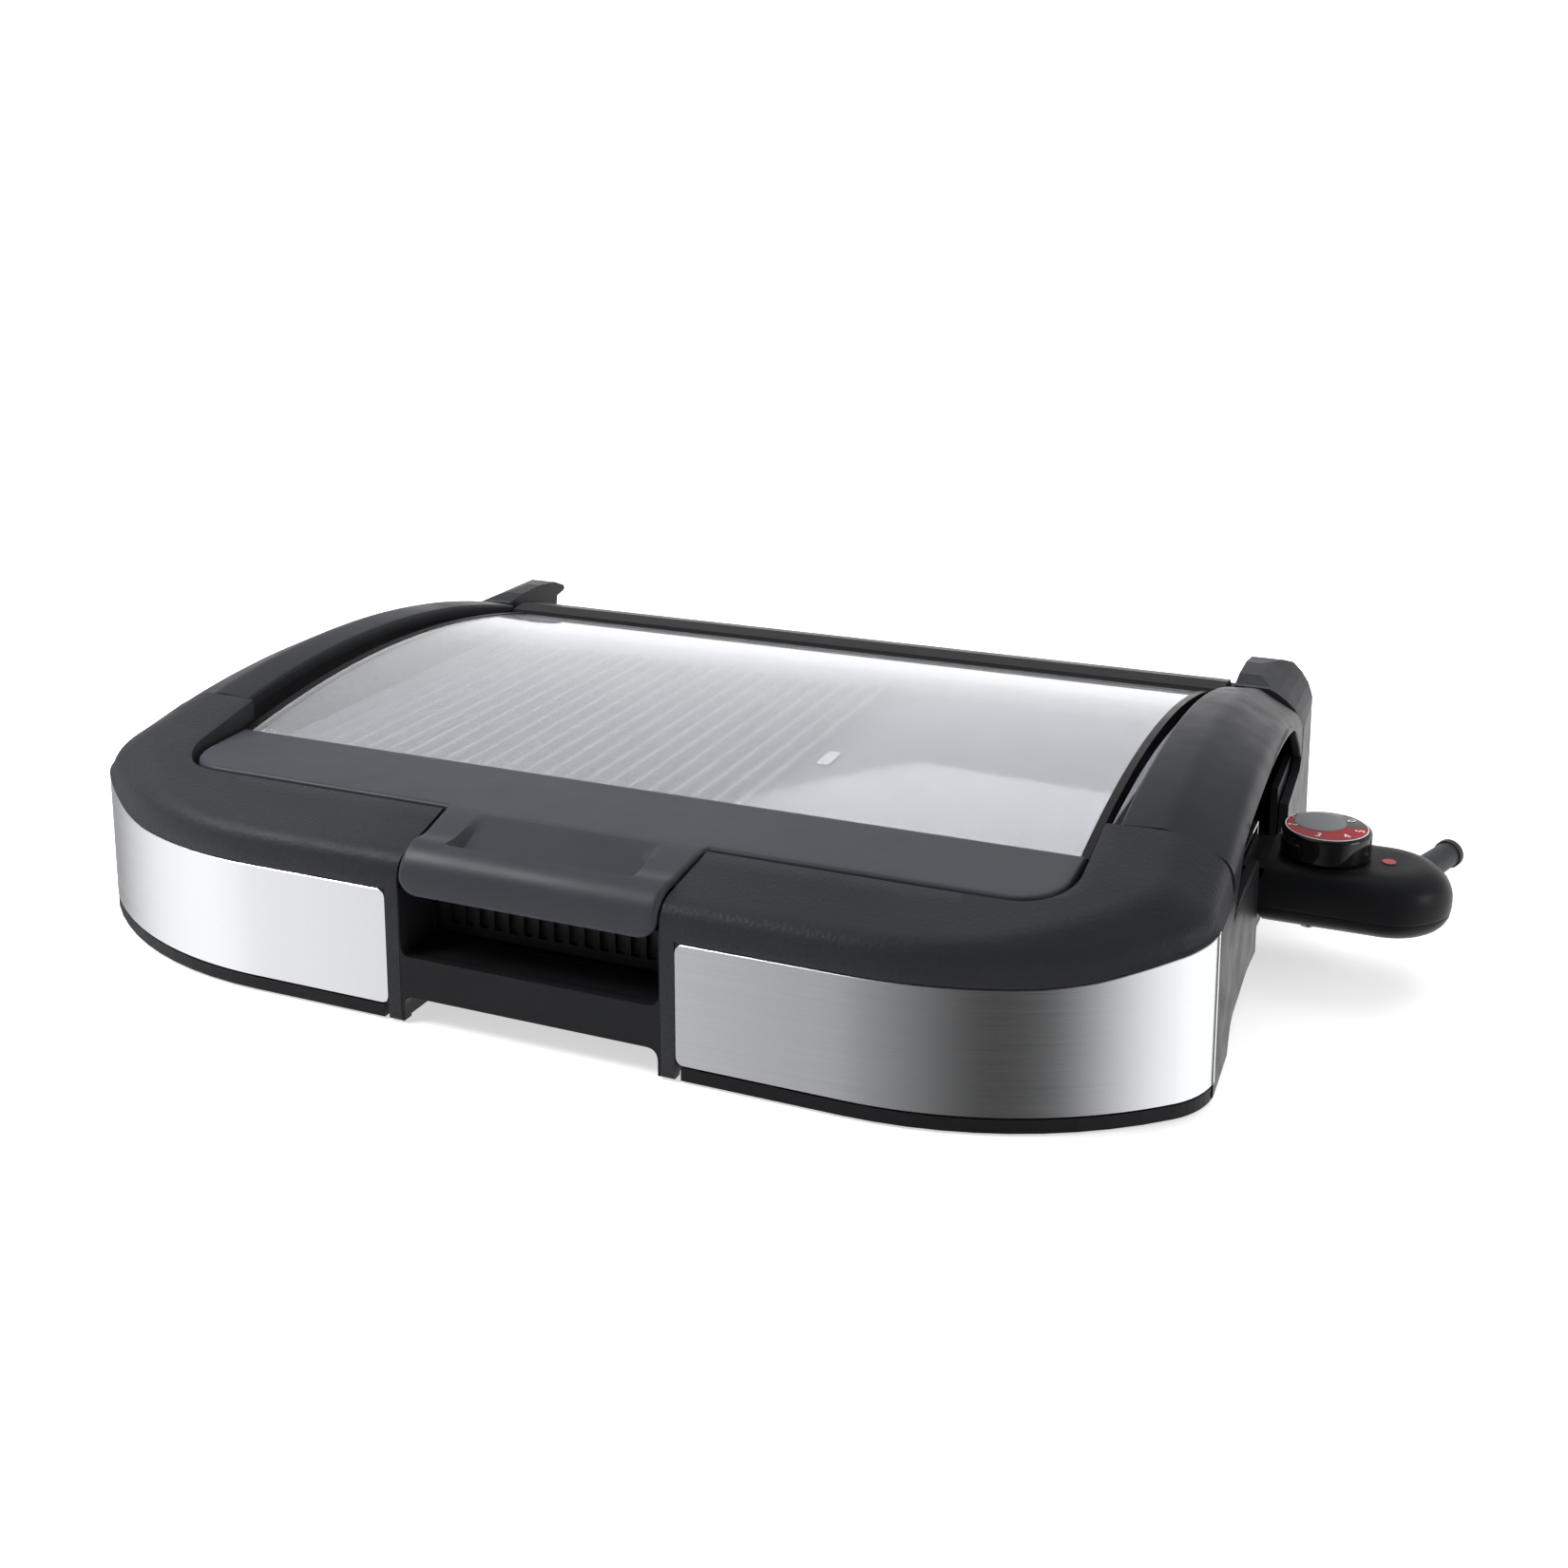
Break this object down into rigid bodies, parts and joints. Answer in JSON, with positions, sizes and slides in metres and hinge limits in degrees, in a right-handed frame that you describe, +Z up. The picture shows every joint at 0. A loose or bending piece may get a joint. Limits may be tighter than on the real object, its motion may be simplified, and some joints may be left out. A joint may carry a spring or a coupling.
{
  "type": "electric griddle",
  "caption": "Table-top electric griddle with a ribbed plate, hinged glass lid, side handles, slide-out drip tray and plug-in dial control.",
  "frame": {"origin": "centre of the bounding box's base, on the table under the rubber feet", "axes": "+X to the right of the front, where the control plugs in; +Y to the rear, where the lid is hinged; +Z up"},
  "size_m": [0.5636, 0.396, 0.095],
  "materials": {
    "housing_plastic": "fine leather grain",
    "handle_plastic": "fine leather grain",
    "brushed_band": "brushed along the band",
    "black_steel": "heat-proof black enamel",
    "bright_steel": "satin",
    "ceramic_white": "unglazed",
    "coated_plate": "non-stick coated casting",
    "element_steel": "oxidised",
    "foot_rubber": "matt",
    "screw_steel": "zinc plated",
    "tray_plastic": "satin black",
    "lid_glass": "lightly tinted, polished",
    "lid_plastic": "smooth satin",
    "black_plastic": "satin",
    "seal_rubber": "matt",
    "control_plastic": "satin",
    "contact_brass": "plain",
    "lens_red": "translucent",
    "gland_plastic": "satin",
    "knob_gloss": "polished",
    "dial_red": "printed ring",
    "cap_grey": "satin"
  },
  "bodies": {
    "base": {"base_housing": "housing_plastic", "front_housing": "housing_plastic", "left_band": "brushed_band", "right_band": "brushed_band", "left_handle": "handle_plastic", "right_handle": "handle_plastic", "left_rear_post": "handle_plastic", "right_rear_post": "handle_plastic", "rear_panel": "housing_plastic", "plate_well": "black_steel", "heat_reflector": "bright_steel", "plate_supports": "ceramic_white", "grill_plate": "coated_plate", "heating_element": "element_steel", "terminal_block": "ceramic_white", "terminal_pins": "bright_steel", "socket_guard": "bright_steel", "tray_shelf": "black_steel", "hinge_pins": "bright_steel", "rubber_feet": "foot_rubber", "base_screws": "screw_steel"},
    "tray": {"drip_tray": "tray_plastic"},
    "lid": {"lid_glass": "lid_glass", "lid_front_frame": "lid_plastic", "lid_rear_rail": "black_plastic", "left_lid_trim": "black_plastic", "right_lid_trim": "black_plastic", "lid_seal": "seal_rubber", "lid_screws": "screw_steel"},
    "control": {"control_upper_shell": "control_plastic", "control_lower_shell": "control_plastic", "sensing_probe": "bright_steel", "connector_block": "black_plastic", "contact_tubes": "contact_brass", "thermostat_switch": "contact_brass", "pilot_lens": "lens_red", "pilot_lamp": "lens_red", "cord_gland": "gland_plastic", "control_screws": "screw_steel"},
    "knob": {"knob_body": "knob_gloss", "dial_ring": "dial_red", "knob_cap": "cap_grey", "knob_spindle": "bright_steel"}
  },
  "joints": [
    {"name": "lid_hinge", "type": "hinge", "parent": "base", "child": "lid", "pos_m": [-0.03605, 0.1455, 0.065], "axis": [-1, 0, 0], "range_deg": [0, 95]},
    {"name": "tray_slide", "type": "slide", "parent": "base", "child": "tray", "axis": [0, -1, 0], "range_m": [0, 0.18]},
    {"name": "control_plug", "type": "slide", "parent": "base", "child": "control", "axis": [1, 0, 0], "range_m": [0, 0.09]},
    {"name": "knob_turn", "type": "hinge", "parent": "control", "child": "knob", "pos_m": [0.22955, 0.0045, 0.058], "axis": [0, 0, -1], "range_deg": [0, 280]}
  ]
}
